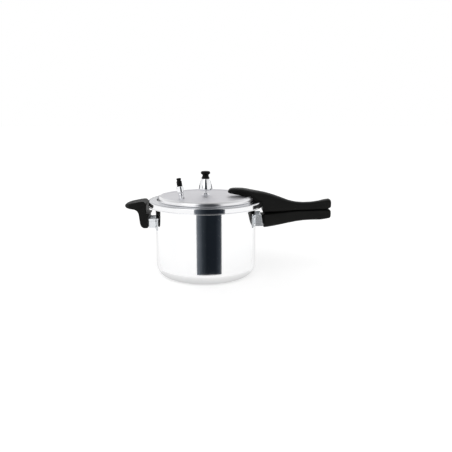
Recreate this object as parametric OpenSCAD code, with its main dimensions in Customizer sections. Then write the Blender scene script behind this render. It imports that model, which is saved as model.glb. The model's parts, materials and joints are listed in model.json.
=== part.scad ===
// Stovetop pressure cooker with an outer bayonet lid.
// Origin: centre of the pot's flat base. +Z up, +X along the long handles. Millimetres.

/* [Pot] */
// Outer radius of the pot wall
pot_r = 113; // [105:1:125]
// Wall thickness
pot_wall = 3; // [2:0.1:4]
// Floor thickness
pot_floor = 4; // [3:0.1:8]
// Outer radius of the bottom corner
pot_corner = 25; // [15:1:32]
// Height of the rim that the gasket seats on
rim_z = 165; // [150:1:200]
// Thickness of the rim flange
rim_t = 3.7; // [3:0.1:5]

/* [Lid] */
// Outer radius of the lid skirt
skirt_r = 128; // [120:1:140]
// Lid sheet thickness
lid_t = 2.3; // [1.5:0.1:2.6]
// Rise of the ledge above the pot rim
ledge_rise = 6; // [5.7:0.1:8]
// Height of the shoulder above the ledge
shoulder_h = 9.4; // [9:0.1:12]
// Depth of the flat centre panel below the shoulder
panel_drop = 2.1; // [0.5:0.1:3]
// Length of the skirt below the ledge
skirt_h = 12.8; // [12.5:0.1:16]

/* [Bayonet] */
// Number of lug pairs
lugs = 6; // [4:1:8]
// Angle that one lug covers
lug_deg = 26; // [16:1:28]
// Thickness of a lid lug
lug_t = 2.5; // [2:0.1:2.8]

/* [Long handles] */
// Height of the seam between the two handles at the root
seam_z = 143; // [138:0.5:146]
// Gap between the two handles
seam_gap = 0.8; // [0.5:0.1:2]
// Width of the bracket across its cheeks
bracket_w = 52; // [44:1:56]

/* [Helper handle] */
// Width of the helper handle
helper_w = 54; // [44:1:62]

/* [Regulator] */
// Radius of the steam channel in the vent pipe
vent_bore = 1.3; // [1:0.1:2]
// Largest radius of the weight
weight_r = 15.2; // [13:0.1:18]

/* [Safety valve] */
// Distance of the valve's foot from the lid's centre line, towards the helper handle
valve_x = 50; // [45:1:60]
// Distance of the valve's foot from the handles' plane, towards the front
valve_y = 50; // [25:1:55]
// Outward lean of the valve
valve_lean = 7.5; // [0:0.5:9]

/* [Hidden] */
$fn = 96;
pot_in = pot_r - pot_wall;
rim_r = 120;
pot_lug_r = 124.6;
lug_in = 120.8;
ledge_z = rim_z + ledge_rise;
top_z = ledge_z + shoulder_h;
panel_z = top_z - panel_drop;
skirt_z = ledge_z - skirt_h;
skirt_in = skirt_r - lid_t;
panel_r = 90;
crest_r = 101;
convex_r = 6.6;
concave_r = shoulder_h - convex_r;
ledge_in = crest_r + convex_r + concave_r;
edge_r = 3;
m5 = 2.5;
rivet_r = 2.4;
rivet_a = [-18, 18];
flange_t = 1.6;
sheet = 2;

aluminium = [0.80, 0.80, 0.82];
chrome = [0.86, 0.87, 0.89];
steel = [0.62, 0.64, 0.68];
black = [0.05, 0.05, 0.055];
rubber = [0.16, 0.16, 0.17];
brass = [0.78, 0.62, 0.32];

// ---------- shared shapes ----------

// Points along an arc about (cx, cy).
function arc(cx, cy, r, a0, a1, n) =
    [for (i = [0:n]) let (a = a0 + (a1 - a0) * i / n) [cx + r * cos(a), cy + r * sin(a)]];

// Flat ring between two radii and two heights.
module ring(r_in, r_out, z0, z1) {
    translate([0, 0, z0]) difference() {
        cylinder(r = r_out, h = z1 - z0);
        translate([0, 0, -1]) cylinder(r = r_in, h = z1 - z0 + 2);
    }
}

// Ring sectors spread evenly, centred on +X.
module lug_ring(r_in, r_out, z0, z1) {
    for (i = [0:lugs - 1])
        rotate([0, 0, i * 360 / lugs - lug_deg / 2])
            rotate_extrude(angle = lug_deg, $fn = 180)
                translate([r_in, z0]) square([r_out - r_in, z1 - z0]);
}

// Hexagonal nut along +Z with a round hole.
module hex_nut(flats, h, hole) {
    difference() {
        cylinder(r = flats / sqrt(3), h = h, $fn = 6);
        translate([0, 0, -1]) cylinder(r = hole, h = h + 2);
    }
}

// Pan-head screw along +Z, head at the bottom.
module screw(r, len, head_r, head_h) {
    difference() {
        union() {
            cylinder(r = head_r, h = head_h);
            cylinder(r = r, h = head_h + len);
        }
        translate([-0.6, -head_r - 1, -1]) cube([1.2, 2 * head_r + 2, 2]);
    }
}

// Radial rivets through the pot wall at the given heights, two per height.
module wall_rivets(heights) {
    for (a = rivet_a, z = heights)
        rotate([0, 0, a]) translate([0, 0, z]) rotate([0, 90, 0]) union() {
            translate([0, 0, pot_in - 1.2]) cylinder(r = 3.6, h = 1.1);
            translate([0, 0, pot_in - 0.5]) cylinder(r = rivet_r, h = pot_wall + flange_t + 1);
            translate([0, 0, pot_r + flange_t + 0.15]) cylinder(r1 = 3.8, r2 = 2.6, h = 1);
        }
}

// Holes that those rivets pass through.
module rivet_holes(heights) {
    for (a = rivet_a, z = heights)
        rotate([0, 0, a]) translate([pot_r - 12, 0, z]) rotate([0, 90, 0])
            cylinder(r = rivet_r + 0.05, h = 24);
}

// Point i of n on a rounded section: half width w, from z0 to z1, power pt above and pb below.
function sec_pt(i, n, w, z0, z1, pt, pb) =
    let (a = 360 * i / n, c = cos(a), s = sin(a), p = s >= 0 ? pt : pb,
         m = (z0 + z1) / 2, h = (z1 - z0) / 2)
    [sign(c) * w * pow(abs(c), 2 / p), m + sign(s) * h * pow(abs(s), 2 / p)];

// Solid through rounded sections; each row is [x, bottom, top, half width, top power, bottom power].
module loft(rows, n = 32) {
    k = len(rows);
    pts = [for (r = rows, i = [0:n - 1])
        let (q = sec_pt(i, n, r[3], r[1], r[2], r[4], r[5])) [r[0], q[0], q[1]]];
    sides = [for (j = [0:k - 2], i = [0:n - 1])
        let (a = j * n + i, b = j * n + (i + 1) % n) each [[a, b + n, b], [a, a + n, b + n]]];
    ends = [[for (i = [0:n - 1]) i], [for (i = [0:n - 1]) k * n - 1 - i]];
    polyhedron(points = pts, faces = concat(sides, ends));
}

// Straight-line value at x from a table of [x, value] pairs.
function at(t, x) = lookup(x, t);

// Smoothed value at x: mean of the table over a short stretch.
function soft(t, x, d = 5) =
    (at(t, x - d) + 2 * at(t, x - d / 2) + 2 * at(t, x) + 2 * at(t, x + d / 2) + at(t, x + d)) / 8;

// ---------- pot ----------

module pot_profile() {
    inner = pot_corner - pot_wall;
    polygon(concat([[0, 0]],
        arc(pot_r - pot_corner, pot_corner, pot_corner, -90, 0, 14),
        [[pot_r, rim_z - 8], [pot_r + 4, rim_z - rim_t], [rim_r, rim_z - rim_t],
            [rim_r, rim_z - 0.5], [rim_r - 0.5, rim_z], [pot_in + 0.5, rim_z],
            [pot_in, rim_z - 0.5]],
        arc(pot_in - inner, pot_floor + inner, inner, 0, -90, 12),
        [[0, pot_floor]]));
}

module pot_body() {
    color(aluminium) difference() {
        union() {
            rotate_extrude($fn = 180) pot_profile();
            lug_ring(rim_r - 1.5, pot_lug_r, rim_z - rim_t, rim_z - 0.6);
        }
        rivet_holes(lower_rivet_z);
        rotate([0, 0, 180]) rivet_holes(helper_rivet_z);
    }
}

// ---------- bracket of the long handle ----------

lower_rivet_z = [121, 134];
plate_x = 121.5;
tongue_z = 125.5;
tongue_len = 30;
tongue_hw = 9;
screw_x = 141;

// Curved flange on the pot wall, out to a half width, less the channel between the cheeks.
module wall_flange(half_w, z0, z1, inner_w) {
    a = asin(half_w / pot_r);
    b = asin(inner_w / pot_r);
    for (s = [-1, 1])
        rotate([0, 0, s > 0 ? b : -a])
            rotate_extrude(angle = a - b, $fn = 180)
                translate([pot_r + 0.1, z0]) square([flange_t, z1 - z0]);
}

module lower_bracket() {
    cheek = [[104, 114.5], [128.6, 114.5], [124.4, 140], [104, 140]];
    color(steel) difference() {
        union() {
            wall_flange(45, 114.5, 142, bracket_w / 2 - sheet / 2);
            difference() {
                for (y = [-bracket_w / 2, bracket_w / 2 - sheet])
                    translate([0, y + sheet, 0]) rotate([90, 0, 0])
                        linear_extrude(sheet) polygon(cheek);
                cylinder(r = pot_r + 0.1 + flange_t / 2, h = 200, $fn = 180);
            }
            translate([plate_x, -bracket_w / 2 + 1, 116])
                cube([sheet, bracket_w - 2, 22]);
            translate([plate_x + 1, -tongue_hw, tongue_z])
                cube([tongue_len - 1, 2 * tongue_hw, 2.5]);
        }
        rivet_holes(lower_rivet_z);
        translate([screw_x, 0, 100]) cylinder(r = m5 + 0.15, h = 60);
    }
}

module lower_bracket_rivets() {
    color(chrome) wall_rivets(lower_rivet_z);
}

// ---------- lower long handle ----------

lower_bot = [[120, 109.6], [132, 109], [153, 111.9], [170, 115.1], [187, 118.5],
    [204, 121.8], [222, 124.2], [239, 125], [258, 125.4], [268, 127.2], [282, 130]];
seam = [[120, 0], [134, 0], [170, 1.6], [204, 4.4], [239, 5.4], [261, 6.2], [300, 7.6]];
grip_hw = [[118, 23.4], [134, 24.2], [150, 21.6], [170, 17.6], [190, 14.8], [205, 13.6],
    [225, 12.8], [245, 12.8], [257, 13.2], [265, 15.4], [276, 15.8], [284, 15.4]];
grip_xs = [for (x = [134:6:254]) x, 258, 261, 264, 268, 272, 276];

function low_row(x, dz, dw) =
    [x, soft(lower_bot, x) + dz, seam_z + soft(seam, x) - seam_gap - dz, soft(grip_hw, x) - dw,
     5, 4];

module lower_handle() {
    rows = concat([[plate_x + sheet + 0.3, 118, 138.4, 21, 8, 8], [129.8, 118, 138.4, 21, 8, 8],
        [130.2, 110.8, seam_z - seam_gap - 1.4, 22.6, 6, 5],
        [131.2, 109.3, seam_z - seam_gap - 0.2, 23.8, 6, 5]],
        [for (x = grip_xs) low_row(x, 0, 0)],
        [low_row(279, 0.5, 0.5), low_row(280.6, 2, 1.6), low_row(281.4, 4.4, 3.6)]);
    color(black) difference() {
        loft(rows);
        translate([plate_x + sheet, -tongue_hw - 0.3, tongue_z - 0.2])
            cube([tongue_len + 0.8, 2 * tongue_hw + 0.6, 2.9]);
        translate([plate_x + sheet, -4.4, tongue_z])
            cube([screw_x - plate_x + 3, 8.8, 6.9]);
        translate([screw_x, 0, 100]) cylinder(r = m5 + 0.3, h = 36);
        translate([screw_x, 0, 100]) cylinder(r = 5.2, h = 17.5);
    }
}

module lower_handle_screw() {
    color(chrome) translate([screw_x, 0, 114.3]) screw(m5, 17, 4.6, 3);
}

module lower_handle_nut() {
    color(steel) translate([screw_x, 0, tongue_z + 2.55]) hex_nut(8, 4, m5 + 0.05);
}

// ---------- helper handle and its bracket, built on +X and turned round ----------

helper_rivet_z = [113.5, 128];
hplate_x = 124.5;
hscrew_z = 121;

module helper_bracket() {
    w = 38;
    cheek = [[104, 109], [127, 109], [127, 131], [104, 131]];
    color(steel) rotate([0, 0, 180]) difference() {
        union() {
            wall_flange(41, 107, 134, w / 2 - sheet / 2);
            difference() {
                union() {
                    for (y = [-w / 2, w / 2 - sheet])
                        translate([0, y + sheet, 0]) rotate([90, 0, 0])
                            linear_extrude(sheet) polygon(cheek);
                    for (y = [-w / 2 - 1.2, w / 2 + 1.2])
                        translate([104, y, 127.4]) rotate([0, 90, 0]) cylinder(r = 3.4, h = 22.5);
                }
                cylinder(r = pot_r + 0.1 + flange_t / 2, h = 200, $fn = 180);
            }
            translate([hplate_x, -w / 2 + 1, 111]) cube([sheet, w - 2, 18]);
        }
        rivet_holes(helper_rivet_z);
        translate([100, 0, hscrew_z]) rotate([0, 90, 0]) cylinder(r = m5 + 0.15, h = 60);
    }
}

module helper_bracket_rivets() {
    color(chrome) rotate([0, 0, 180]) wall_rivets(helper_rivet_z);
}

// Side outline of the helper handle: a stem by the bracket and a grip that reaches outward.
module helper_outline() {
    difference() {
        polygon([[127.6, 109.6], [138.6, 109.2], [143.8, 113.2], [146.2, 120], [147.6, 133],
            [149, 142.6], [152, 148], [157, 151], [163, 152.1], [177, 154],
            [181.4, 155.9], [182.4, 158.2], [180, 161.2], [174, 163.4], [163, 165.6],
            [149, 168.4], [140, 169.6], [136, 169.2], [131.4, 163.8], [131.2, 141.8],
            [124.6, 141.8], [124.6, 139.6], [127.6, 135.6]]);
        translate([118, 142]) square([13.2, 24]);
    }
}

module helper_handle() {
    round_r = 4;
    color(black) rotate([0, 0, 180]) difference() {
        minkowski() {
            intersection() {
                translate([0, helper_w / 2 - round_r, 0]) rotate([90, 0, 0])
                    linear_extrude(helper_w - 2 * round_r) offset(delta = -round_r)
                        helper_outline();
                translate([0, 0, 100]) linear_extrude(100)
                    polygon([[100, -helper_w / 2], [168, -helper_w / 2], [176, -helper_w / 2 + 8],
                        [179, -helper_w / 2 + 16], [179, helper_w / 2 - 16],
                        [176, helper_w / 2 - 8], [168, helper_w / 2], [100, helper_w / 2]]);
            }
            sphere(r = round_r, $fn = 20);
        }
        translate([120, 0, hscrew_z]) rotate([0, 90, 0]) cylinder(r = m5 + 0.3, h = 40);
        translate([142.5, 0, hscrew_z]) rotate([0, 90, 0]) cylinder(r = 5.2, h = 20);
    }
}

module helper_handle_screw() {
    color(chrome) rotate([0, 0, 180]) translate([145.4, 0, hscrew_z]) rotate([0, -90, 0])
        screw(m5, 25, 4.6, 2.8);
}

module helper_handle_nut() {
    color(steel) rotate([0, 0, 180]) translate([hplate_x - 4.05, 0, hscrew_z])
        rotate([0, 90, 0]) hex_nut(8, 4, m5 + 0.05);
}

// ---------- lid ----------

// Section line of the lid from its centre to the skirt, moved inward by d.
function lid_line(d) = concat(
    [[0, panel_z - d]],
    [for (i = [0:6]) [panel_r + (crest_r - panel_r) * i / 6,
        panel_z + panel_drop * (1 - cos(30 * i)) / 2 - d]],
    arc(crest_r, top_z - convex_r, convex_r - d, 80, 0, 8),
    arc(ledge_in, ledge_z + concave_r, concave_r + d, 190, 270, 6),
    arc(skirt_r - edge_r, ledge_z - edge_r, edge_r - d, 90, 0, 7));

module lid_profile() {
    up = lid_line(lid_t);
    n = len(up);
    polygon(concat(lid_line(0),
        arc(skirt_r - 0.2, skirt_z + 1.2, 1.2, 78, -90, 10),
        [[skirt_in, skirt_z]],
        [for (i = [0:n - 1]) up[n - 1 - i]]));
}

module lid_shell() {
    color(aluminium) difference() {
        union() {
            rotate_extrude($fn = 180) lid_profile();
            lug_ring(lug_in, skirt_in + 0.5, skirt_z, skirt_z + lug_t);
        }
        translate([0, 0, panel_z - 20]) cylinder(r = 5.1, h = 40);
        valve_axis() translate([0, 0, -20]) cylinder(r = 4.6, h = 40);
    }
}

module lid_gasket() {
    z0 = rim_z + 0.3;
    z1 = ledge_z - lid_t - 0.3;
    m = (z0 + z1) / 2;
    color(rubber) rotate_extrude($fn = 180)
        polygon([[108.6, z0], [119.8, z0], [120.4, z0 + 0.6], [120.4, z1 - 0.6], [119.8, z1],
            [108.6, z1], [108, z1 - 0.5], [108, z1 - 1], [112, m + 0.25], [112, m - 0.25],
            [108, z0 + 1], [108, z0 + 0.5]]);
}

// ---------- upper long handle ----------

ub_r = skirt_r + 0.1;
ub_z = 160.8;
ub_h = 7.8;
uscrew_x = 148;

// Curved plate welded to the skirt, with a tongue that runs into the handle.
module upper_bracket() {
    a = asin(15 / ub_r);
    color(steel) difference() {
        union() {
            rotate([0, 0, -a]) rotate_extrude(angle = 2 * a, $fn = 180)
                translate([ub_r, ub_z]) square([sheet, ub_h]);
            translate([ub_r + 1, -tongue_hw, ub_z]) cube([30, 2 * tongue_hw, 2.5]);
        }
        translate([uscrew_x, 0, 140]) cylinder(r = m5 + 0.15, h = 40);
    }
}

upper_top = [[46, 188.6], [52, 194], [57, 196.4], [66, 197], [81, 196.7], [90, 195.5],
    [101, 193.3], [118, 190.5], [135, 187.1], [152, 182.1], [169, 176.1], [187, 169.3],
    [204, 165.6], [221, 164.6], [238, 165.3], [255, 167.8], [268, 170.7], [276, 172],
    [290, 172.8]];
upper_bot = [[46, 186.6], [53, 185.6], [66, 183.2], [82, 180.2], [98, 177.2], [102, 175.4],
    [106, 164]];
upper_hw = [[44, 7], [50, 10], [56, 14], [66, 17.4], [82, 20.8], [100, 23.6], [118, 25],
    [134, 24.4], [150, 21.6], [170, 17.6], [190, 14.8], [205, 13.6], [225, 12.8],
    [245, 12.8], [257, 13.2], [265, 15.4], [276, 15.8], [284, 15.4]];
end_lift = [[100, 0], [264, 0], [274, 1.2], [284, 4.6]];

function up_bot(x) = x < 106 ? soft(upper_bot, x, 2) : seam_z + soft(seam, x) + at(end_lift, x);
function up_row(x, dz, dw) =
    [x, up_bot(x) + dz, soft(upper_top, x, 4) - dz, soft(upper_hw, x) - dw,
     x < 110 ? 2.8 : x > 258 ? 3.2 : 2.6, x < 104 ? 4 : 5];

module upper_handle() {
    rows = concat([[50, 187.7, 190.4, 8.5, 2.2, 2.2], [50.8, 186.6, 192, 10.4, 2.4, 3]],
        [for (x = [53, 56, 60, 66, 73, 80, 86, 92, 98, 101, 104]) up_row(x, 0, 0)],
        [for (x = [107:4.5:129.5]) up_row(x, 0, 0)],
        [for (x = grip_xs) up_row(x, 0, 0)],
        [up_row(279, 0.7, 0.5), up_row(280.6, 2.4, 1.6), up_row(281.4, 5, 3.6)]);
    color(black) difference() {
        loft(rows);
        // room for the lid and the bead round its skirt
        rotate_extrude($fn = 180)
            polygon(concat(lid_line(-0.3), [[skirt_r + 0.3, 120], [0, 120]]));
        translate([0, 0, 100]) cylinder(r = skirt_r + 1.3, h = skirt_z + 3 - 100, $fn = 180);
        // plate and tongue of the bracket
        rotate([0, 0, -7]) rotate_extrude(angle = 14, $fn = 180)
            translate([skirt_r - 0.2, ub_z - 0.4]) square([2.6, ub_h + 0.8]);
        translate([ub_r + 1, -tongue_hw - 0.3, ub_z - 0.2])
            cube([31, 2 * tongue_hw + 0.6, 2.9]);
        translate([ub_r + 1, -4.4, ub_z]) cube([uscrew_x - ub_r + 4.6, 8.8, 6.9]);
        translate([uscrew_x, 0, 130]) cylinder(r = m5 + 0.3, h = 39);
        translate([uscrew_x, 0, 130]) cylinder(r = 5.2, h = 22);
    }
}

module upper_handle_screw() {
    color(chrome) translate([uscrew_x, 0, 148.9]) screw(m5, 15.5, 4.6, 2.9);
}

module upper_handle_nut() {
    color(steel) translate([uscrew_x, 0, ub_z + 2.55]) hex_nut(8, 4, m5 + 0.05);
}

// ---------- vent pipe and regulator ----------

pipe_top = 203;
weight_z = 190.7;

module vent_pipe() {
    color(chrome) difference() {
        union() {
            translate([0, 0, panel_z - 10]) cylinder(r = 5, h = 11);
            translate([0, 0, panel_z + 0.2]) cylinder(r = 9.2, h = 3.6, $fn = 6);
            translate([0, 0, panel_z + 3.8]) cylinder(r1 = 7, r2 = 3.6, h = 2.6);
            translate([0, 0, panel_z + 3]) cylinder(r = 3.4, h = pipe_top - panel_z - 4);
            translate([0, 0, pipe_top - 1]) cylinder(r1 = 3.4, r2 = 2.6, h = 1);
        }
        translate([0, 0, 150]) cylinder(r = vent_bore, h = 80);
    }
}

module vent_washer() {
    z = panel_z - lid_t - 0.1;
    color(rubber) ring(5.05, 9.5, z - 1.6, z);
}

module vent_nut() {
    color(chrome) translate([0, 0, panel_z - lid_t - 5.8]) hex_nut(15, 4, 5.05);
}

module regulator_weight() {
    color(chrome) difference() {
        rotate_extrude() union() {
            polygon([[0, weight_z], [11, weight_z], [13.4, weight_z + 1.2],
                [14.8, weight_z + 3], [weight_r, weight_z + 4.8], [15, weight_z + 7],
                [14.2, weight_z + 11], [12.9, weight_z + 16], [11.3, weight_z + 21],
                [10, weight_z + 24.6], [9.2, weight_z + 26.6], [8.6, weight_z + 27.3],
                [0, weight_z + 27.3]]);
        }
        translate([0, 0, weight_z - 1]) cylinder(r = 4.2, h = pipe_top + 0.5 - weight_z + 1);
        translate([0, 0, weight_z - 1]) cylinder(r1 = 9.4, r2 = 8, h = 6);
        translate([0, 0, pipe_top]) cylinder(r = 3.05, h = 6);
        translate([0, 0, 209]) cylinder(r = 1.55, h = 12);
    }
}

// Brass needle that closes the pipe's channel.
module regulator_needle() {
    color(brass) union() {
        translate([0, 0, pipe_top + 0.6]) cylinder(r = 3, h = 4.6);
        translate([0, 0, pipe_top - 1]) cylinder(r1 = 0.4, r2 = 1.3, h = 1.61);
    }
}

module regulator_knob() {
    z = weight_z + 27.4;
    color(black) difference() {
        rotate_extrude() polygon([[0, z], [9, z], [9.1, z + 1.2], [8.2, z + 3.2], [7.1, z + 5.4],
            [6.8, z + 7], [7.2, z + 8.4], [8.8, z + 9.6], [10.2, z + 10.8], [10.6, z + 12.4],
            [10.4, z + 14.2], [9.6, z + 15.4], [8, z + 16.2], [5, z + 16.7], [0, z + 16.9]]);
        translate([0, 0, z - 1]) cylinder(r = 1.6, h = 11);
    }
}

module regulator_screw() {
    color(steel) translate([0, 0, 209.5]) cylinder(r = 1.5, h = 17);
}

// ---------- safety valve ----------

// Local frame of the valve: foot on the lid's panel, +Z along the leaning axis.
module valve_axis() {
    translate([-valve_x, -valve_y, panel_z]) rotate([0, -valve_lean, 0]) children();
}

module valve_housing() {
    color(chrome) valve_axis() difference() {
        union() {
            translate([0, 0, -9.5]) cylinder(r = 4.5, h = 11);
            translate([0, 0, 1]) cylinder(r = 6.4, h = 2.8, $fn = 6);
            translate([0, 0, 3.7]) cylinder(r = 5.6, h = 10.4);
            translate([0, 0, 14]) cylinder(r1 = 5.6, r2 = 7.5, h = 2.4);
        }
        translate([0, 0, -12]) cylinder(r = 2, h = 16);
        translate([0, 0, 3.75]) cylinder(r = 4.3, h = 20);
    }
}

module valve_washer() {
    color(rubber) valve_axis() ring(4.55, 8, -lid_t - 2.7, -lid_t - 1.2);
}

module valve_nut() {
    color(chrome) valve_axis() translate([0, 0, -lid_t - 6.4]) hex_nut(13, 3.6, 4.55);
}

module valve_collar() {
    color(chrome) valve_axis() difference() {
        union() {
            translate([0, 0, 16.5]) cylinder(r1 = 7.8, r2 = 7, h = 12.2);
            translate([0, 0, 28.7]) cylinder(r1 = 7, r2 = 6.6, h = 0.6);
            translate([0, 0, 14.8]) cylinder(r = 4.2, h = 2);
        }
        translate([0, 0, 10]) cylinder(r = 1.85, h = 30);
        translate([0, 0, 10]) cylinder(r = 3.9, h = 6.6);
        translate([0, 0, 23]) cylinder(r = 6.1, h = 10);
    }
}

module valve_plunger() {
    color(brass) valve_axis() union() {
        translate([0, 0, 5.2]) cylinder(r = 3.9, h = 1.8);
        translate([0, 0, 6.9]) cylinder(r = 1.8, h = 32);
    }
}

module valve_disc() {
    color(rubber) valve_axis() translate([0, 0, 4.05]) cylinder(r = 3.6, h = 1.1);
}

// Wire of radius w wound as a coil of radius r, from z0 to z1.
module coil(r, w, z0, z1, turns, steps = 20, sides = 8) {
    k = turns * steps;
    rise = (z1 - z0) / k;
    pts = [for (j = [0:k], i = [0:sides - 1])
        let (a = 360 * j / steps, b = 360 * i / sides, q = r + w * cos(b))
        [q * cos(a), q * sin(a), z0 + rise * j + w * sin(b)]];
    walls = [for (j = [0:k - 1], i = [0:sides - 1])
        let (a = j * sides + i, b = j * sides + (i + 1) % sides)
        each [[a, b, b + sides], [a, b + sides, a + sides]]];
    ends = [[for (i = [0:sides - 1]) sides - 1 - i], [for (i = [0:sides - 1]) k * sides + i]];
    polyhedron(points = pts, faces = concat(walls, ends));
}

module valve_spring() {
    color(steel) valve_axis() coil(3.1, 0.5, 7.6, 15.9, 5);
}

module valve_cap() {
    color(black) valve_axis() difference() {
        rotate_extrude() polygon([[0, 24.2], [5.5, 24.2], [5.75, 24.6], [5.75, 39], [5.5, 40],
            [4.7, 40.7], [4.2, 41.5], [4.1, 42.4], [4.4, 43.1], [5, 43.6], [5.2, 44.4],
            [5.1, 45.6], [4.6, 46.4], [3.4, 46.8], [0, 46.8]]);
        translate([0, 0, 20]) cylinder(r = 1.85, h = 19.4);
    }
}

pot_body();
lower_bracket();
lower_bracket_rivets();
lower_handle();
lower_handle_screw();
lower_handle_nut();
helper_bracket();
helper_bracket_rivets();
helper_handle();
helper_handle_screw();
helper_handle_nut();
lid_shell();
lid_gasket();
upper_bracket();
upper_handle();
upper_handle_screw();
upper_handle_nut();
vent_pipe();
vent_washer();
vent_nut();
regulator_weight();
regulator_needle();
regulator_knob();
regulator_screw();
valve_housing();
valve_washer();
valve_nut();
valve_collar();
valve_plunger();
valve_disc();
valve_spring();
valve_cap();
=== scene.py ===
import json
import math

import bmesh
import bpy
from mathutils import Matrix, Vector


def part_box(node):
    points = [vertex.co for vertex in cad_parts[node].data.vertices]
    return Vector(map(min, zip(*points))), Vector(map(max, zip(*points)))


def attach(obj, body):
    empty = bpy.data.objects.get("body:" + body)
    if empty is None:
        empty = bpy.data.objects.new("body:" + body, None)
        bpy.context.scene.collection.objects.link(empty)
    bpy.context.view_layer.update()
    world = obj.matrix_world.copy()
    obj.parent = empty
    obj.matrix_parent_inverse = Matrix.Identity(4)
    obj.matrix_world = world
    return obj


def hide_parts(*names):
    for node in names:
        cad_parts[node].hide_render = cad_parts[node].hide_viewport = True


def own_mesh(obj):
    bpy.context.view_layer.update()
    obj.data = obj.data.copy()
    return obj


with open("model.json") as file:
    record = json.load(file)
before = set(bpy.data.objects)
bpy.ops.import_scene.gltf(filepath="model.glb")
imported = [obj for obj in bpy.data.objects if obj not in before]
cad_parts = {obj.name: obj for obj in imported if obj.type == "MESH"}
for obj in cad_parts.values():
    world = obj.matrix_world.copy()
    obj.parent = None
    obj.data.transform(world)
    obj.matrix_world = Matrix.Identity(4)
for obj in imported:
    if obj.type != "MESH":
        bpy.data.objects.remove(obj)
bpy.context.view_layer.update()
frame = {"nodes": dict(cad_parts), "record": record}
nodes = frame["nodes"]
scene = bpy.context.scene

# ---------------------------------------------------------------- camera
pot_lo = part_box("pot_body")[0]
cam_data = bpy.data.cameras.new("camera")
cam = bpy.data.objects.new("camera", cam_data)
scene.collection.objects.link(cam)
scene.camera = cam
cam_data.sensor_width = 36.0
cam_data.lens = 42.8
cam.location = (0.0458, -1.20, 0.360)
cam.rotation_euler = (math.radians(90 - 11.8), 0, 0)
cam_data.clip_start = 0.01
cam_data.clip_end = 50

scene.view_settings.view_transform = "Standard"
scene.view_settings.look = "None"


# ---------------------------------------------------------------- materials
class Mat:
    """A node material built step by step around one Principled shader."""

    def __init__(self, name):
        self.m = bpy.data.materials.new(name)
        self.m.use_nodes = True
        self.nt = self.m.node_tree
        self.nt.nodes.clear()
        self.out = self.nt.nodes.new("ShaderNodeOutputMaterial")
        self.bsdf = self.nt.nodes.new("ShaderNodeBsdfPrincipled")
        self.link(self.bsdf.outputs["BSDF"], self.out.inputs["Surface"])
        self.coord = self.nt.nodes.new("ShaderNodeTexCoord")

    def link(self, a, b):
        self.nt.links.new(a, b)

    def node(self, kind, **props):
        n = self.nt.nodes.new(kind)
        for k, v in props.items():
            setattr(n, k, v)
        return n

    def set(self, **values):
        for k, v in values.items():
            self.bsdf.inputs[k.replace("_", " ")].default_value = v

    def scaled(self, xyz):
        mp = self.node("ShaderNodeMapping")
        mp.inputs["Scale"].default_value = xyz
        self.link(self.coord.outputs["Object"], mp.inputs["Vector"])
        return mp.outputs["Vector"]

    def noise(self, scale, detail=4.0, rough=0.55, xyz=(1, 1, 1), vector=None, dims="3D"):
        n = self.node("ShaderNodeTexNoise", noise_dimensions=dims)
        n.inputs["Scale"].default_value = scale
        n.inputs["Detail"].default_value = detail
        n.inputs["Roughness"].default_value = rough
        if dims == "1D":
            self.link(vector, n.inputs["W"])
        else:
            self.link(vector if vector else self.scaled(xyz), n.inputs["Vector"])
        return n.outputs["Fac"]

    def ramp(self, fac, stops):
        r = self.node("ShaderNodeValToRGB")
        el = r.color_ramp.elements
        while len(el) < len(stops):
            el.new(0.5)
        for e, (p, c) in zip(el, stops):
            e.position = p
            e.color = (c, c, c, 1) if isinstance(c, (int, float)) else (*c, 1)
        self.link(fac, r.inputs["Fac"])
        return r.outputs["Color"]

    def math(self, op, a, b=None, c=None, clamp=False):
        n = self.node("ShaderNodeMath", operation=op)
        n.use_clamp = clamp
        for i, v in enumerate((a, b, c)):
            if v is None:
                continue
            if isinstance(v, (int, float)):
                n.inputs[i].default_value = v
            else:
                self.link(v, n.inputs[i])
        return n.outputs[0]

    def mix(self, fac, a, b):
        n = self.node("ShaderNodeMix", data_type="RGBA")
        for name, v in (("Factor", fac), ("A", a), ("B", b)):
            sock = [s for s in n.inputs if s.name == name and s.enabled][0]
            if isinstance(v, (int, float)):
                sock.default_value = v
            elif isinstance(v, tuple):
                sock.default_value = (*v, 1)
            else:
                self.link(v, sock)
        return [s for s in n.outputs if s.enabled][0]

    def bump(self, height, strength, distance):
        b = self.node("ShaderNodeBump")
        b.inputs["Strength"].default_value = strength
        b.inputs["Distance"].default_value = distance
        self.link(height, b.inputs["Height"])
        if self.bsdf.inputs["Normal"].is_linked:
            self.link(self.bsdf.inputs["Normal"].links[0].from_socket, b.inputs["Normal"])
        self.link(b.outputs["Normal"], self.bsdf.inputs["Normal"])

    def xyz(self):
        s = self.node("ShaderNodeSeparateXYZ")
        self.link(self.coord.outputs["Object"], s.inputs[0])
        return s.outputs

    def radius(self):
        x, y, z = self.xyz()
        return self.math("SQRT", self.math("ADD", self.math("MULTIPLY", x, x),
                                           self.math("MULTIPLY", y, y)))


def polished_pot():
    """Mirror-bright spun aluminium with faint turning lines and handling haze."""
    m = Mat("polished_aluminium")
    m.set(Metallic=1.0)
    x, y, z = m.xyz()
    lines = m.noise(900, 3, 0.6, vector=z, dims="1D")
    haze = m.noise(26, 5, 0.6)
    m.link(m.ramp(haze, [(0.3, (0.925, 0.93, 0.935)), (0.7, (0.965, 0.965, 0.965))]),
           m.bsdf.inputs["Base Color"])
    rough = m.math("MULTIPLY_ADD", haze, 0.03, 0.045)
    m.link(m.math("MULTIPLY_ADD", lines, 0.02, rough), m.bsdf.inputs["Roughness"])
    m.bump(lines, 0.05, 0.0002)
    return m.m


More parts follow.
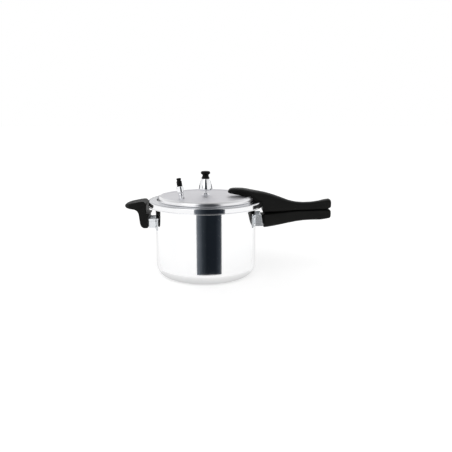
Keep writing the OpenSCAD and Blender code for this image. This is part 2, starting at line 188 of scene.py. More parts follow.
def lid_metal():
    """Satin, circularly brushed panel inside the shoulder; polished shoulder, ledge and skirt, the ledge
    darkened by a painted dark reflection.
    """
    m = Mat("lid_aluminium")
    m.set(Metallic=1.0)
    r = m.radius()
    x, y, z = m.xyz()
    on_top = m.math("MULTIPLY", m.math("LESS_THAN", r, 0.1015),
                    m.math("GREATER_THAN", z, 0.1772))
    rings = m.noise(1500, 4, 0.7, vector=r, dims="1D")
    cloud = m.noise(14, 4, 0.6)
    shoulder = m.math("MULTIPLY", m.math("LESS_THAN", r, 0.1085),
                      m.math("GREATER_THAN", z, 0.1722))
    ledge = m.math("MULTIPLY", m.math("GREATER_THAN", z, 0.1700),
                   m.math("SUBTRACT", 1.0, shoulder))
    satin = m.mix(cloud, (0.74, 0.735, 0.765), (0.84, 0.835, 0.86))
    soft = m.mix(cloud, (0.83, 0.83, 0.85), (0.94, 0.94, 0.95))
    # painted reflection: the polished ledge gets a dark grey tone for the dark things it mirrors
    ledge_painted_reflection = m.mix(cloud, (0.42, 0.43, 0.46), (0.52, 0.53, 0.56))
    bright = m.mix(cloud, (0.84, 0.845, 0.86), (0.92, 0.92, 0.93))
    tone = m.mix(ledge, bright, ledge_painted_reflection)
    tone = m.mix(shoulder, tone, soft)
    m.link(m.mix(on_top, tone, satin), m.bsdf.inputs["Base Color"])
    r_satin = m.math("MULTIPLY_ADD", rings, 0.16, 0.47)
    r_bright = m.math("MULTIPLY_ADD", shoulder, 0.20, m.math("MULTIPLY_ADD", cloud, 0.05, 0.07))
    pick = m.math("MULTIPLY_ADD", on_top, m.math("SUBTRACT", r_satin, r_bright), r_bright)
    m.link(pick, m.bsdf.inputs["Roughness"])
    m.bump(m.math("MULTIPLY", rings, on_top), 0.25, 0.0003)
    return m.m


def chrome():
    """Polished chrome with a slight haze."""
    m = Mat("chrome")
    m.set(Metallic=1.0)
    haze = m.noise(160, 4, 0.6)
    m.link(m.ramp(haze, [(0.3, (0.84, 0.85, 0.87)), (0.7, (0.92, 0.925, 0.94))]),
           m.bsdf.inputs["Base Color"])
    m.link(m.math("MULTIPLY_ADD", haze, 0.05, 0.04), m.bsdf.inputs["Roughness"])
    m.bump(m.noise(500, 2, 0.5), 0.03, 0.0001)
    return m.m


def sheet_steel():
    """Plated pressed sheet with a drawn grain."""
    m = Mat("bracket_steel")
    m.set(Metallic=1.0)
    grain = m.noise(90, 5, 0.65, xyz=(1, 1, 8))
    m.link(m.ramp(grain, [(0.25, (0.66, 0.68, 0.70)), (0.75, (0.78, 0.80, 0.82))]),
           m.bsdf.inputs["Base Color"])
    m.link(m.math("MULTIPLY_ADD", grain, 0.10, 0.15), m.bsdf.inputs["Roughness"])
    m.bump(grain, 0.10, 0.0003)
    return m.m


def brass():
    """Turned brass."""
    m = Mat("brass")
    m.set(Metallic=1.0)
    grain = m.noise(240, 4, 0.6)
    m.link(m.ramp(grain, [(0.3, (0.62, 0.45, 0.20)), (0.7, (0.76, 0.58, 0.29))]),
           m.bsdf.inputs["Base Color"])
    m.link(m.math("MULTIPLY_ADD", grain, 0.12, 0.22), m.bsdf.inputs["Roughness"])
    m.bump(grain, 0.08, 0.0002)
    return m.m


def phenolic():
    """Moulded black phenolic: satin skin, fine orange peel, faint flow marks."""
    m = Mat("black_phenolic")
    flow = m.noise(38, 5, 0.6, xyz=(0.4, 1, 1))
    fine = m.noise(1400, 2, 0.5)
    m.link(m.ramp(flow, [(0.35, (0.0030, 0.0030, 0.0028)), (0.75, (0.0062, 0.0064, 0.0057))]),
           m.bsdf.inputs["Base Color"])
    m.link(m.math("MULTIPLY_ADD", flow, 0.14, 0.36), m.bsdf.inputs["Roughness"])
    m.bsdf.inputs["Specular IOR Level"].default_value = 0.10
    m.bump(fine, 0.08, 0.0003)
    m.bump(m.noise(120, 3, 0.5), 0.05, 0.0006)
    return m.m


def rubber():
    """Matt silicone rubber."""
    m = Mat("seal_rubber")
    speck = m.noise(600, 3, 0.6)
    m.link(m.ramp(speck, [(0.3, (0.018, 0.018, 0.018)), (0.7, (0.032, 0.031, 0.030))]),
           m.bsdf.inputs["Base Color"])
    m.link(m.math("MULTIPLY_ADD", speck, 0.15, 0.65), m.bsdf.inputs["Roughness"])
    m.bump(speck, 0.15, 0.0003)
    return m.m


finish = {
    "polished_aluminium": polished_pot(),
    "lid_aluminium": lid_metal(),
    "chrome_metal": chrome(),
    "bracket_steel": sheet_steel(),
    "brass": brass(),
    "black_phenolic": phenolic(),
    "seal_rubber": rubber(),
}
slot_of = {s["node"]: s["material_slot"] for s in frame["record"]["subparts"]}

for name, ob in nodes.items():
    mat = finish[slot_of[name]]
    if not ob.data.materials:
        ob.data.materials.append(mat)
    for i in range(len(ob.data.materials)):
        ob.data.materials[i] = mat


# ---------------------------------------------------------------- mesh helpers
MM = 0.001


def piece(name, bm, slot_name, body, stands_for=(), angle=35.0):
    """Turns a bmesh (metres, row frame) into a shown piece that rides on a body."""
    bmesh.ops.remove_doubles(bm, verts=bm.verts, dist=1e-6)
    bmesh.ops.recalc_face_normals(bm, faces=bm.faces)
    me = bpy.data.meshes.new(name)
    bm.to_mesh(me)
    bm.free()
    ob = bpy.data.objects.new(name, me)
    scene.collection.objects.link(ob)
    me.shade_smooth()
    me.set_sharp_from_angle(angle=math.radians(angle))
    me.materials.append(finish[slot_name])
    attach(ob, body)
    if stands_for:
        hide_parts(*stands_for)
    return ob


def baked(ob):
    """Applies the object's modifiers to its mesh."""
    bpy.context.view_layer.update()
    done = bpy.data.meshes.new_from_object(ob.evaluated_get(
        bpy.context.evaluated_depsgraph_get()))
    ob.modifiers.clear()
    old, ob.data = ob.data, done
    bpy.data.meshes.remove(old)
    return ob


def cut(ob, tools, angle=35.0):
    """Takes each tool, a bmesh in metres, away from the object's mesh."""
    for bm in tools:
        bmesh.ops.recalc_face_normals(bm, faces=bm.faces)
        me = bpy.data.meshes.new("tool")
        bm.to_mesh(me)
        bm.free()
        tool = bpy.data.objects.new("tool", me)
        scene.collection.objects.link(tool)
        mod = ob.modifiers.new("cut", "BOOLEAN")
        mod.object = tool
        mod.solver = "EXACT"
        baked(ob)
        bpy.data.objects.remove(tool)
        bpy.data.meshes.remove(me)
    ob.data.shade_smooth()
    ob.data.set_sharp_from_angle(angle=math.radians(angle))


def rounded(points, n=6):
    """Section line whose corners are turned into arcs; each point is (r, z[, radius]) in mm."""
    out = []
    for i, p in enumerate(points):
        here = Vector(p[:2])
        rad = p[2] if len(p) > 2 else 0.0
        if rad == 0 or i in (0, len(points) - 1):
            out.append((here.x, here.y))
            continue
        u = Vector(points[i - 1][:2]) - here
        v = Vector(points[i + 1][:2]) - here
        lu, lv = u.length, v.length
        u.normalize()
        v.normalize()
        half = math.acos(max(-0.9999, min(0.9999, u.dot(v)))) / 2
        t = min(rad / math.tan(half), 0.49 * lu, 0.49 * lv)
        r = t * math.tan(half)
        c = here + (u + v).normalized() * (r / math.sin(half))
        a, b = here + u * t - c, here + v * t - c
        a0 = math.atan2(a.y, a.x)
        turn = math.atan2(b.y, b.x) - a0
        turn = (turn + math.pi) % (2 * math.pi) - math.pi
        for k in range(n + 1):
            w = a0 + turn * k / n
            out.append((c.x + r * math.cos(w), c.y + r * math.sin(w)))
    return out


def flowing(points, n=5):
    """Smooth line through the points (Catmull-Rom)."""
    pts = [Vector(p) for p in points]
    pts = [2 * pts[0] - pts[1]] + pts + [2 * pts[-1] - pts[-2]]
    out = []
    for i in range(1, len(pts) - 2):
        p0, p1, p2, p3 = pts[i - 1:i + 3]
        for k in range(n):
            t = k / n
            q = 0.5 * (2 * p1 + (p2 - p0) * t + (2 * p0 - 5 * p1 + 4 * p2 - p3) * t * t
                       + (3 * p1 - p0 - 3 * p2 + p3) * t ** 3)
            out.append((q.x, q.y))
    out.append((pts[-2].x, pts[-2].y))
    return out


def lathe(section, segs=128, ring=False):
    """A section of (r, z) in mm turned round Z. A ring section closes on itself."""
    bm = bmesh.new()
    rows = []
    for r, z in section:
        if r < 1e-6:
            rows.append([bm.verts.new((0, 0, z * MM))])
        else:
            rows.append([bm.verts.new((r * MM * math.cos(2 * math.pi * k / segs),
                                       r * MM * math.sin(2 * math.pi * k / segs),
                                       z * MM)) for k in range(segs)])
    pairs = list(zip(rows, rows[1:]))
    if ring:
        pairs.append((rows[-1], rows[0]))
    for a, b in pairs:
        for k in range(segs):
            m = (k + 1) % segs
            if len(a) == 1 and len(b) == 1:
                continue
            if len(a) == 1:
                bm.faces.new((a[0], b[m], b[k]))
            elif len(b) == 1:
                bm.faces.new((a[k], a[m], b[0]))
            else:
                bm.faces.new((a[k], a[m], b[m], b[k]))
    return bm


def placed(bm, matrix):
    """The same bmesh, moved by a matrix."""
    bmesh.ops.transform(bm, matrix=matrix, verts=bm.verts)
    return bm


def join(bm, other):
    """Adds another bmesh to this one."""
    me = bpy.data.meshes.new("joined")
    other.to_mesh(me)
    other.free()
    bm.from_mesh(me)
    bpy.data.meshes.remove(me)


def hex_foot(bm, r, z0, z1, hole):
    """Hexagon with turned-off corners between two heights; r is to a corner."""
    flats = lathe([(r, z0), (r, z1), (hole, z1), (hole, z0)], segs=6, ring=True)
    turned = bpy.data.objects.new("turned", bpy.data.meshes.new("turned"))
    flats.to_mesh(turned.data)
    flats.free()
    k = 0.94 * r
    h = (r - k) * 0.55
    cone = lathe([(0, z0 - 1), (k - 1, z0 - 1), (k, z0), (r + 0.1, z0 + h + 0.05),
                  (r + 0.1, z1 - h - 0.05), (k, z1), (k - 1, z1 + 1), (0, z1 + 1)], 96)
    me = bpy.data.meshes.new("cone")
    bmesh.ops.recalc_face_normals(cone, faces=cone.faces)
    cone.to_mesh(me)
    cone.free()
    tool = bpy.data.objects.new("cone", me)
    for ob in (turned, tool):
        scene.collection.objects.link(ob)
    mod = turned.modifiers.new("corners", "BOOLEAN")
    mod.operation = "INTERSECT"
    mod.object = tool
    mod.solver = "EXACT"
    baked(turned)
    bm.from_mesh(turned.data)
    for ob in (turned, tool):
        mesh = ob.data
        bpy.data.objects.remove(ob)
        bpy.data.meshes.remove(mesh)
    return bm


def sector(bm, r0, r1, z0, z1, a0, a1, soft=0.4, n=16):
    """Block between two radii and heights over an angle, with softened long edges."""
    line = rounded([(r0, (z0 + z1) / 2), (r0, z0, soft), (r1, z0, soft), (r1, z1, soft),
                    (r0, z1, soft), (r0, (z0 + z1) / 2)], 3)[:-1]
    rows = []
    for i in range(n + 1):
        a = math.radians(a0 + (a1 - a0) * i / n)
        rows.append([bm.verts.new((r * MM * math.cos(a), r * MM * math.sin(a), z * MM))
                     for r, z in line])
    k = len(line)
    for p, q in zip(rows, rows[1:]):
        for i in range(k):
            bm.faces.new((p[i], p[(i + 1) % k], q[(i + 1) % k], q[i]))
    bm.faces.new(rows[0][::-1])
    bm.faces.new(rows[-1])
    return bm


def at(table, x):
    """Straight-line value at x from (x, value) pairs."""
    if x <= table[0][0]:
        return table[0][1]
    for (x0, y0), (x1, y1) in zip(table, table[1:]):
        if x <= x1:
            return y0 + (y1 - y0) * (x - x0) / (x1 - x0)
    return table[-1][1]


def soft(table, x, d=5.0, n=8):
    """Value at x smoothed over a short stretch."""
    w = [1 - abs(i / (n + 1)) for i in range(-n, n + 1)]
    return sum(wi * at(table, x + d * i / n) for wi, i in zip(w, range(-n, n + 1))) / sum(w)


def section_ring(x, bottom, top, half, p_top, p_bot, n=96):
    """Rounded cross-section at x, points in mm."""
    pts = []
    mid, h = (bottom + top) / 2, (top - bottom) / 2
    for i in range(n):
        a = 2 * math.pi * i / n
        c, s = math.cos(a), math.sin(a)
        p = p_top if s >= 0 else p_bot
        pts.append((x, math.copysign(half * abs(c) ** (2 / p), c),
                    mid + math.copysign(h * abs(s) ** (2 / p), s)))
    return pts


def loft(rows):
    """Closed skin through cross-sections of equal length."""
    bm = bmesh.new()
    rings = [[bm.verts.new(Vector(q) * MM) for q in section_ring(*r)] for r in rows]
    n = len(rings[0])
    for a, b in zip(rings, rings[1:]):
        for i in range(n):
            bm.faces.new((a[i], a[(i + 1) % n], b[(i + 1) % n], b[i]))
    bm.faces.new(rings[0][::-1])
    bm.faces.new(rings[-1])
    return bm


# ---------------------------------------------------------------- pot and lid
# Sizes in mm, the same as in the design.
pot_r, pot_in, pot_corner, pot_floor = 113.0, 110.0, 25.0, 4.0
rim_z, rim_low, rim_r = 165.0, 161.3, 120.0
ledge_z, top_z, panel_z, skirt_z, skirt_r = 171.0, 180.4, 178.3, 158.2, 128.0
lid_t, panel_r, crest_r, panel_drop = 2.3, 90.0, 101.0, 2.1
convex_r, concave_r, ledge_in, edge_r = 6.6, 2.8, 110.4, 3.0
lugs, lug_half, lug_in, pot_lug_r = 6, 13, 120.8, 124.6
skirt_in = 125.7
vent_hole_r = 5.15
round_segs = 320


def arc(cx, cy, r, a0, a1, n):
    """Points of an arc about (cx, cy), angles in degrees."""
    return [(cx + r * math.cos(math.radians(a0 + (a1 - a0) * i / n)),
             cy + r * math.sin(math.radians(a0 + (a1 - a0) * i / n))) for i in range(n + 1)]


def lid_line(d, r_start=0.0, fine=3):
    """Section of the lid from its centre to the skirt, moved inward by d."""
    steps = 18
    ramp = [(panel_r + (crest_r - panel_r) * i / steps,
             panel_z + panel_drop * (1 - math.cos(math.pi * i / steps)) / 2 - d)
            for i in range(steps + 1)]
    flat = [(r, panel_z - d) for r in (r_start, 20, 40, 60, 76, 84)]
    return (flat + ramp + arc(crest_r, top_z - convex_r, convex_r - d, 88, 0, 8 * fine)
            + arc(ledge_in, ledge_z + concave_r, concave_r + d, 182, 270, 6 * fine)
            + [(116, ledge_z - d), (121, ledge_z - d)]
            + arc(skirt_r - edge_r, ledge_z - edge_r, edge_r - d, 90, 0, 6 * fine))


inside = lid_line(lid_t, vent_hole_r)[::-1]
shell = (lid_line(0, vent_hole_r) + arc(skirt_r - 0.2, skirt_z + 1.2, 1.2, 78, -90, 18)
         + [(skirt_in, skirt_z)] + inside)
lid_bm = lathe(shell, segs=round_segs, ring=True)
for i in range(lugs):
    mid = i * 360 // lugs
    sector(lid_bm, lug_in, 126.2, skirt_z, skirt_z + 2.5, mid - lug_half, mid + lug_half)
piece("lid", lid_bm, "lid_aluminium", "lid", ["lid_shell"], 40)

inner_corner = pot_corner - (pot_r - pot_in)
wall = (arc(pot_r - pot_corner, pot_corner, pot_corner, -90, 0, 36)
        + [(pot_r, 60), (pot_r, 100), (pot_r, 140)]
        + rounded([(pot_r, 150), (pot_r, 157, 3), (117, rim_low, 0.8), (rim_r, rim_low, 0.4),
                   (rim_r, rim_z, 0.6), (pot_in, rim_z, 0.6), (pot_in, 150)], 5)
        + [(pot_in, 100), (pot_in, 60)]
        + arc(pot_in - inner_corner, pot_floor + inner_corner, inner_corner, 0, -90, 30))
pot_bm = lathe([(0, 0)] + wall + [(0, pot_floor)], segs=round_segs)
for i in range(lugs):
    mid = i * 360 // lugs
    sector(pot_bm, 118.5, pot_lug_r, rim_low, 164.4, mid - lug_half, mid + lug_half)
piece("pot", pot_bm, "polished_aluminium", "pot", ["pot_body"], 40)

# ---------------------------------------------------------------- rivets
def dome_rivet(bm, angle, z):
    """Rivet through the pot's wall, both heads domed; its axis is the wall's radius."""
    line = (arc(0, 114.5, 5.7, -90, -52, 8) + [(3.5, 110.0), (2.4, 110.0), (2.4, 114.8),
            (3.75, 114.8)] + arc(0, 108.96, 6.94, 57.3, 90, 8))
    one = placed(lathe(line, segs=32), Matrix.Rotation(math.radians(angle), 4, "Z")
                 @ Matrix.Translation((0, 0, z * MM)) @ Matrix.Rotation(math.pi / 2, 4, "Y"))
    join(bm, one)


for name, heights, base in (("lower_bracket_rivets", (121, 134), 0),
                            ("helper_bracket_rivets", (113.5, 128), 180)):
    rivets = bmesh.new()
    for a in (-18, 18):
        for z in heights:
            dome_rivet(rivets, base + a, z)
    piece(name + "_domed", rivets, "chrome_metal", "pot", [name])

# ---------------------------------------------------------------- vent pipe and regulator
pipe = lathe(rounded([(1.3, 168.3), (5, 168.3, 0.4), (5, 179.3), (6.8, 179.3), (6.8, 182.3, 0.6),
                      (3.9, 184.8, 0.9), (3.4, 185.6, 0.5), (3.4, 202.2, 0.5),
                      (2.5, 203.0, 0.2), (1.3, 203.0)], 4), segs=64, ring=True)
hex_foot(pipe, 9.2, 178.45, 182.0, 3.0)
piece("vent_pipe_turned", pipe, "chrome_metal", "lid", ["vent_pipe"])

weight_z = 190.7
bell = flowing([(11.0, weight_z), (13.4, weight_z + 1.1), (14.8, weight_z + 2.9), (15.2, weight_z + 4.8),
                (15.0, weight_z + 7), (14.2, weight_z + 11), (12.9, weight_z + 16), (11.3, weight_z + 21),
                (10.1, weight_z + 24.4), (9.2, weight_z + 26.5)], 5)
bell = ([(0, 209.5), (3.05, 209.5), (3.05, 203.4), (4.2, 203.4), (4.2, 195.4), (8.0, 195.0),
         (9.2, weight_z + 0.4), (10.2, weight_z)] + bell + [(8.6, weight_z + 27.2), (0, weight_z + 27.3)])
piece("weight", lathe(bell, segs=160), "chrome_metal", "regulator", ["regulator_weight"])

knob_z = weight_z + 27.4
knob = flowing([(9.0, knob_z + 0.2), (9.1, knob_z + 1.2), (8.2, knob_z + 3.2), (7.1, knob_z + 5.4),
                (6.8, knob_z + 7), (7.2, knob_z + 8.4), (8.8, knob_z + 9.7), (10.2, knob_z + 10.9),
                (10.6, knob_z + 12.5), (10.35, knob_z + 14.3), (9.5, knob_z + 15.5), (7.8, knob_z + 16.3),
                (5, knob_z + 16.7), (2.6, knob_z + 16.6)], 5)
knob = [(0, knob_z), (8.6, knob_z)] + knob + [(0, knob_z + 16.4)]
piece("knob", lathe(knob, segs=128), "black_phenolic", "regulator", ["regulator_knob"])

# ---------------------------------------------------------------- safety valve
lean = math.radians(7.5)
valve_at = (Matrix.Translation((-0.050, -0.050, panel_z * MM))
            @ Matrix.Rotation(-lean, 4, "Y"))
housing = lathe(rounded([(2, 3.75), (2, -9.4), (4.5, -9.4, 0.4), (4.5, 1.2), (5.6, 1.2), (5.6, 6.2, 0.3),
                         (5.2, 6.6, 0.3), (5.2, 7.2, 0.3), (5.6, 7.6, 0.3), (5.6, 14, 0.8),
                         (7.5, 16.0, 0.4), (7.5, 16.4, 0.2), (4.35, 16.4),
                         (4.35, 3.75)], 4), segs=96, ring=True)
hex_foot(housing, 6.4, 1.0, 3.8, 3.2)
piece("valve_body", placed(housing, valve_at), "chrome_metal", "lid", ["valve_housing"])
collar = rounded([(1.9, 22.8), (1.9, 16.5), (7.5, 16.5, 0.3), (7.8, 16.9, 0.3),
                  (7.75, 18.4, 0.2), (7.4, 18.7, 0.2), (7.4, 19.2, 0.2), (7.68, 19.5, 0.2),
                  (7.0, 28.7, 0.4), (6.6, 29.3, 0.2), (6.15, 29.2, 0.1), (6.1, 23)], 4)
piece("valve_sleeve", placed(lathe(collar, segs=96, ring=True), valve_at),
      "chrome_metal", "lid", ["valve_collar"])
cap = rounded([(0, 24.3), (5.5, 24.3, 0.3), (5.75, 24.7, 0.3), (5.75, 30.2, 0.2),
               (5.55, 30.5, 0.2), (5.55, 30.9, 0.2), (5.75, 31.2, 0.2), (5.75, 39.2, 0.8),
               (4.7, 40.8, 0.8), (4.1, 42, 1.2), (5.0, 43.6, 0.8), (5.2, 44.6, 0.8),
               (4.8, 46.3, 0.9), (3.2, 46.8, 1), (0, 46.6)], 5)
piece("valve_cap_moulded", placed(lathe(cap, segs=96), valve_at), "black_phenolic",
      "relief", ["valve_cap"])

coil_r, wire_r, coil_lo, coil_hi, turns, steps, sides = 3.1, 0.5, 7.6, 15.9, 5, 40, 12
spring_bm = bmesh.new()
loops = []
for j in range(turns * steps + 1):
    a = 2 * math.pi * j / steps
    mid = coil_lo + (coil_hi - coil_lo) * j / (turns * steps)
    ring = []
    for i in range(sides):
        b = 2 * math.pi * i / sides
        q = coil_r + wire_r * math.cos(b)
        ring.append(spring_bm.verts.new((q * math.cos(a) * MM, q * math.sin(a) * MM,
                                         (mid + wire_r * math.sin(b)) * MM)))
    loops.append(ring)
for p, q in zip(loops, loops[1:]):
    for i in range(sides):
        spring_bm.faces.new((p[i], p[(i + 1) % sides], q[(i + 1) % sides], q[i]))
spring_bm.faces.new(loops[0][::-1])
spring_bm.faces.new(loops[-1])
spring = piece("valve_coil", placed(spring_bm, valve_at), "bracket_steel", "lid",
               ["valve_spring"])
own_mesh(spring)

# ---------------------------------------------------------------- long handles
seam_z, seam_gap = 143.0, 0.8
lower_bot = [(120, 109.6), (132, 109), (153, 111.9), (170, 115.1), (187, 118.5),
             (204, 121.8), (222, 124.2), (239, 125), (258, 125.4), (268, 127.2), (282, 130)]
seam = [(120, 0), (134, 0), (170, 1.6), (204, 4.4), (239, 5.4), (261, 6.2), (300, 7.6)]
grip_hw = [(118, 23.4), (134, 24.2), (150, 21.6), (170, 17.6), (190, 14.8), (205, 13.6),
           (225, 12.8), (245, 12.8), (257, 13.2), (265, 15.4), (276, 15.8), (284, 15.4)]
upper_top = [(46, 188.6), (52, 194), (57, 196.4), (66, 197), (81, 196.7), (90, 195.5),
             (101, 193.3), (118, 190.5), (135, 187.1), (152, 182.1), (169, 176.1),
             (187, 169.3), (204, 165.6), (221, 164.6), (238, 165.3), (255, 167.8),
             (268, 170.7), (276, 172), (290, 172.8)]
upper_bot = [(46, 186.6), (53, 185.6), (66, 183.2), (82, 180.2), (98, 177.2), (124, 143)]
upper_hw = [(44, 7), (50, 10), (56, 14), (66, 17.4), (82, 20.8), (100, 23.6), (118, 25),
            (134, 24.4), (150, 21.6), (170, 17.6), (190, 14.8), (205, 13.6), (225, 12.8),
            (245, 12.8), (257, 13.2), (265, 15.4), (276, 15.8), (284, 15.4)]
end_lift = [(100, 0), (264, 0), (274, 1.2), (284, 4.6)]


def low_row(x, inset=0.0):
    """Cross-section of the lower grip at x."""
    return (x, soft(lower_bot, x) + inset, seam_z + soft(seam, x) - seam_gap - inset,
            soft(grip_hw, x) - inset, 5, 4)


def up_row(x, inset=0.0):
    """Cross-section of the upper grip at x."""
    bottom = soft(upper_bot, x, 2) if x < 124 else seam_z + soft(seam, x) + at(end_lift, x)
    blend = min(max((x - 100) / 12, 0), 1)
    far = min(max((x - 250) / 14, 0), 1)
    return (x, bottom + inset, soft(upper_top, x, 4) - inset, soft(upper_hw, x) - inset,
            2.8 - 0.2 * blend + 0.6 * far, 4 + blend)


def round_end(row, x_end, r, n=8):
    """Rows that round off the end of a handle."""
    out = []
    for i in range(1, n + 1):
        a = math.pi / 2 * i / n
        x = x_end - r + r * math.sin(a)
        q = row(x_end - r + 0.35 * (x - x_end + r), r * (1 - math.cos(a)) * 0.98)
        out.append((x,) + q[1:])
    return out


def round_start(row, x0, r, n=7):
    """Rows that round off the start of a handle."""
    out = []
    for i in range(n, 0, -1):
        a = math.pi / 2 * i / n
        q = row(x0 + r, r * (1 - math.cos(a)) * 0.98)
        out.append((x0 + r - r * math.sin(a),) + q[1:])
    return out


body = (round_start(low_row, 130.2, 1.6) + [low_row(x) for x in range(132, 277, 2)]
        + round_end(low_row, 281.4, 4.4))
low_bm = loft(body)
neck = loft([(123.8, 118, 138.4, 21, 8, 8), (133, 118, 138.4, 21, 8, 8)])
join(low_bm, neck)
lower = piece("lower_grip", low_bm, "black_phenolic", "pot", ["lower_handle"], 50)
at_screw = Matrix.Translation((0.141, 0, 0))
cut(lower, [placed(lathe([(0, 100), (5.2, 100), (5.2, 117.5), (0, 117.5)], 64), at_screw)], 50)

tip = []
for i in range(9):
    f = math.sin(math.pi / 2 * i / 9)
    q = up_row(55)
    x = 55 - 5 * math.cos(math.pi / 2 * i / 9)
    low, high, half = up_row(x)[1:4]
    z = 188.8
    tip.append((x, z + (low - z) * f - 0.25, z + (high - z) * f + 0.25,
                7 + (half - 7) * f, q[4], q[5]))
shape = (tip + [up_row(x) for x in range(55, 277, 2)] + round_end(up_row, 281.4, 4.4))
upper = piece("upper_grip", loft(shape), "black_phenolic", "lid", ["upper_handle"], 50)
room = lid_line(-0.3)[::-1]
cut(upper, [lathe([(0, 120), (skirt_r + 0.3, 120)] + room, 320),
            lathe([(0, 99), (skirt_r + 1.3, 99), (skirt_r + 1.3, skirt_z + 3),
                   (0, skirt_z + 3)], 320),
            placed(lathe([(0, 130), (5.2, 130), (5.2, 152), (0, 152)], 64),
                   Matrix.Translation((0.148, 0, 0)))], 50)

# ---------------------------------------------------------------- helper handle
outline = rounded([(127.6, 122), (127.6, 109.6, 3), (138.6, 109.2, 4), (143.8, 113.2, 5),
                   (146.2, 120, 20), (147.6, 133, 40), (149, 142.6, 12), (152, 148, 6),
                   (157, 151, 8), (163, 152.1, 30), (177, 154, 6), (181.4, 155.9, 2.5),
                   (182.4, 158.2, 2.5), (180, 161.2, 5), (174, 163.4, 20), (163, 165.6, 40),
                   (149, 168.4, 20), (140, 169.6, 5), (136, 169.2, 4), (131.2, 163.8, 3),
                   (131.2, 141.8), (124.6, 141.8), (124.6, 139.6), (127.6, 135.6)], 5)
helper_bm = bmesh.new()
near, far = [[helper_bm.verts.new((-x * MM, y, z * MM)) for x, z in outline]
             for y in (-0.027, 0.027)]
for i in range(len(outline)):
    k = (i + 1) % len(outline)
    helper_bm.faces.new((near[i], near[k], far[k], far[i]))
helper_bm.faces.new(near[::-1])
helper_bm.faces.new(far)
helper = piece("helper_grip", helper_bm, "black_phenolic", "pot", ["helper_handle"], 50)
plan = bmesh.new()
edge = [(-200, -40), (-160, -40)] + rounded([(-160, -40), (-160, -27.6, 4), (-168, -27.6, 8),
        (-177, -19, 8), (-181, -10, 12), (-182.4, 0, 30), (-181, 10, 12), (-177, 19, 8),
        (-168, 27.6, 8), (-160, 27.6, 4), (-160, 40)], 4)[1:-1] + [(-160, 40), (-200, 40)]
lo_v = [plan.verts.new((x * MM, y * MM, 0.10)) for x, y in edge]
hi_v = [plan.verts.new((x * MM, y * MM, 0.18)) for x, y in edge]
for i in range(len(edge)):
    k = (i + 1) % len(edge)
    plan.faces.new((lo_v[i], lo_v[k], hi_v[k], hi_v[i]))
plan.faces.new(lo_v[::-1])
plan.faces.new(hi_v)
cut(helper, [plan], 50)
grid = helper.modifiers.new("grid", "REMESH")
grid.mode = "VOXEL"
grid.voxel_size = 0.0008
ease = helper.modifiers.new("ease", "SMOOTH")
ease.factor = 0.5
ease.iterations = 14
baked(helper)
across = Matrix.Translation((0, 0, 0.121)) @ Matrix.Rotation(-math.pi / 2, 4, "Y")
cut(helper, [placed(lathe([(0, 142.5), (5.2, 142.5), (5.2, 160), (0, 160)], 64), across)], 50)



# ---------------------------------------------------------------- floor, light and card
def stage_mesh(name, bm, mat):
    """Turns a bmesh into a studio object that isn't part of the cooker."""
    me = bpy.data.meshes.new(name)
    bm.to_mesh(me)
    bm.free()
    me.materials.append(mat)
    ob = bpy.data.objects.new(name, me)
    scene.collection.objects.link(ob)
    return ob


def sheet_mesh(name, corners, mat):
    bm = bmesh.new()
    bm.faces.new([bm.verts.new(c) for c in corners])
    return stage_mesh(name, bm, mat)


def white_floor():
    """Plain white floor that stays white under the soft light."""
    m = Mat("studio_floor")
    soft = m.noise(3, 3, 0.5)
    m.link(m.ramp(soft, [(0.3, 0.88), (0.7, 0.90)]), m.bsdf.inputs["Base Color"])
    m.set(Roughness=0.9)
    m.bsdf.inputs["Emission Color"].default_value = (1, 1, 1, 1)
    m.bsdf.inputs["Emission Strength"].default_value = 0.34
    m.bsdf.inputs["Specular IOR Level"].default_value = 0.0
    return m.m


def dark_card():
    """A studio flag that only shows in the polished metal."""
    m = Mat("studio_card")
    tone = m.noise(2.5, 2, 0.5)
    glow = m.node("ShaderNodeEmission")
    m.link(m.ramp(tone, [(0.3, (0.010, 0.013, 0.019)), (0.7, (0.017, 0.021, 0.029))]),
           glow.inputs["Color"])
    m.link(glow.outputs["Emission"], m.out.inputs["Surface"])
    return m.m


def glow_card(name, build):
    """Emission-only card; build gives the tone socket from a fresh material."""
    m = Mat(name)
    glow = m.node("ShaderNodeEmission")
    m.link(build(m), glow.inputs["Color"])
    m.link(glow.outputs["Emission"], m.out.inputs["Surface"])
    return m.m


def painted_band_reflection(m):
    """Dark card seen only in the metal, painting the dark reflected band on the pot's front; paler
    towards its two upright edges, a painted soft edge of that reflection.
    """
    across = m.math("MULTIPLY_ADD", m.xyz()[0], 7.9, 0.328)
    across = m.math("MULTIPLY_ADD", m.noise(30, 3, 0.5), 0.06, m.math("SUBTRACT", across, 0.03))
    return m.ramp(across, [(0.0, (0.28, 0.30, 0.32)), (0.06, (0.12, 0.135, 0.155)),
                           (0.24, (0.030, 0.036, 0.044)), (0.42, (0.009, 0.012, 0.016)),
                           (0.78, (0.010, 0.013, 0.018)), (0.93, (0.034, 0.040, 0.050)),
                           (1.0, (0.15, 0.16, 0.17))])


def painted_side_reflection(m):
    """Glowing card on the floor beside and behind the pot, seen only in the metal: painted grey
    reflection on the pot's sides, with painted shade darkest next to the pot and paler away from its
    sides.
    """
    x, y, z = m.xyz()
    out = m.math("SUBTRACT", m.math("ABSOLUTE", x), 0.105)
    ratio = m.math("DIVIDE", out, m.math("ADD", y, 0.06))
    return m.ramp(m.math("MULTIPLY_ADD", m.noise(4, 2, 0.5), 0.05, ratio),
                  [(0.0, 0.56), (0.16, 0.80), (0.75, 0.97)])


def painted_contact_shade(m):
    """Ring card round the pot's foot, seen only in the metal: painted contact shade, dark at the contact
    and fading outward.
    """
    return m.ramp(m.math("MULTIPLY_ADD", m.noise(9, 2, 0.5), 0.004, m.radius()),
                  [(0.086, 0.40), (0.102, 0.66), (0.150, 0.97)])


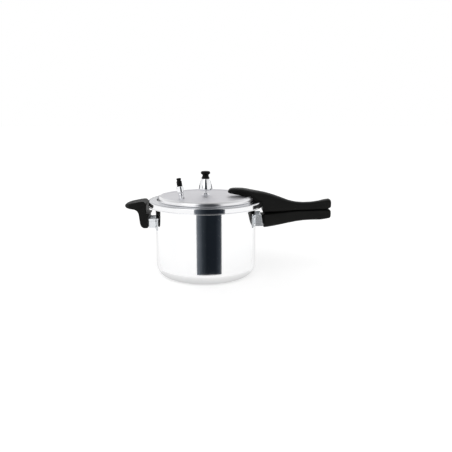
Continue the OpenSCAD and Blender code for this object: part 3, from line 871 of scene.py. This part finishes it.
def ring_card(r0, r1, z, mat, n=96):
    """Flat ring on the floor round the pot's axis."""
    bm = bmesh.new()
    rows = [(bm.verts.new((r0 * math.cos(a), r0 * math.sin(a), z)),
             bm.verts.new((r1 * math.cos(a), r1 * math.sin(a), z)))
            for a in (2 * math.pi * i / n for i in range(n))]
    for i in range(n):
        p, q = rows[i], rows[(i + 1) % n]
        bm.faces.new((p[0], p[1], q[1], q[0]))
    return stage_mesh("base_ring", bm, mat)


def only_in_gloss(ob):
    """The card shows in polished surfaces and nowhere else."""
    ob.visible_camera = False
    ob.visible_diffuse = False
    ob.visible_shadow = False
    ob.visible_transmission = False


floor_z = pot_lo.z - 0.0002
sheet_mesh("floor", [(-14, -14, floor_z), (14, -14, floor_z), (14, 14, floor_z),
                     (-14, 14, floor_z)], white_floor())


def curved_card(radius, a0, a1, z0, z1, n=24):
    """Part of a standing cylinder round the pot's axis, angles from the viewer's side."""
    bm = bmesh.new()
    rows = []
    for i in range(n + 1):
        a = math.radians(a0 + (a1 - a0) * i / n)
        x, y = radius * math.sin(a), -radius * math.cos(a)
        rows.append((bm.verts.new((x, y, z0)), bm.verts.new((x, y, z1))))
    for (p, q), (r, t) in zip(rows, rows[1:]):
        bm.faces.new((p, r, t, q))
    # painted reflection: this card paints the dark band seen on the pot's front
    only_in_gloss(stage_mesh("card", bm, glow_card("standing_card", painted_band_reflection)))


curved_card(0.190, -12.6, 26.6, 0.001, 0.44)
only_in_gloss(sheet_mesh("floor_flag", [(0.10, -0.42, 0.001), (0.09, -1.3, 0.001),
                                        (0.27, -1.3, 0.001), (0.20, -0.42, 0.001)],
                         dark_card()))
# painted reflection and shade for the pot's sides
side_reflection_mat = glow_card("painted_side_reflection_card", painted_side_reflection)
for side in (-1, 1):
    only_in_gloss(sheet_mesh("bell_flag", [(side * 0.17, 0.63, 0.09), (side * 0.56, 0.33, 0.09),
                                           (side * 0.56, 0.33, 0.25), (side * 0.17, 0.63, 0.25)],
                             dark_card()))
    only_in_gloss(sheet_mesh("painted_side_reflection_card", [(side * 0.105, -0.03, 0.0004), (side * 0.105, 1.4, 0.0004),
                                           (side * 1.2, 1.4, 0.0004), (side * 0.16, -0.03, 0.0004)],
                             side_reflection_mat))
# painted contact shade under the pot's foot, seen only in its reflection
only_in_gloss(ring_card(0.080, 0.150, 0.0003, glow_card("painted_contact_shade_card", painted_contact_shade)))

world = bpy.data.worlds.new("studio")
scene.world = world
world.use_nodes = True
wn = world.node_tree
wn.nodes.clear()
w_out = wn.nodes.new("ShaderNodeOutputWorld")
w_bg = wn.nodes.new("ShaderNodeBackground")
w_co = wn.nodes.new("ShaderNodeTexCoord")
w_sep = wn.nodes.new("ShaderNodeSeparateXYZ")
w_ramp = wn.nodes.new("ShaderNodeValToRGB")
w_ramp.color_ramp.elements.new(0.3)
for e, (pos, c) in zip(w_ramp.color_ramp.elements, ((0.0, 1.0), (0.3, 1.0), (1.0, 0.5))):
    e.position = pos
    e.color = (c, c, c, 1)
wn.links.new(w_co.outputs["Generated"], w_sep.inputs[0])
wn.links.new(w_sep.outputs["Z"], w_ramp.inputs["Fac"])
wn.links.new(w_ramp.outputs["Color"], w_bg.inputs["Color"])
wn.links.new(w_bg.outputs[0], w_out.inputs[0])

sun_data = bpy.data.lights.new("soft_sun", "SUN")
sun_data.energy = 0.45
sun_data.angle = math.radians(60)
sun = bpy.data.objects.new("soft_sun", sun_data)
scene.collection.objects.link(sun)
sun.rotation_euler = (math.radians(48), 0, math.radians(-30))
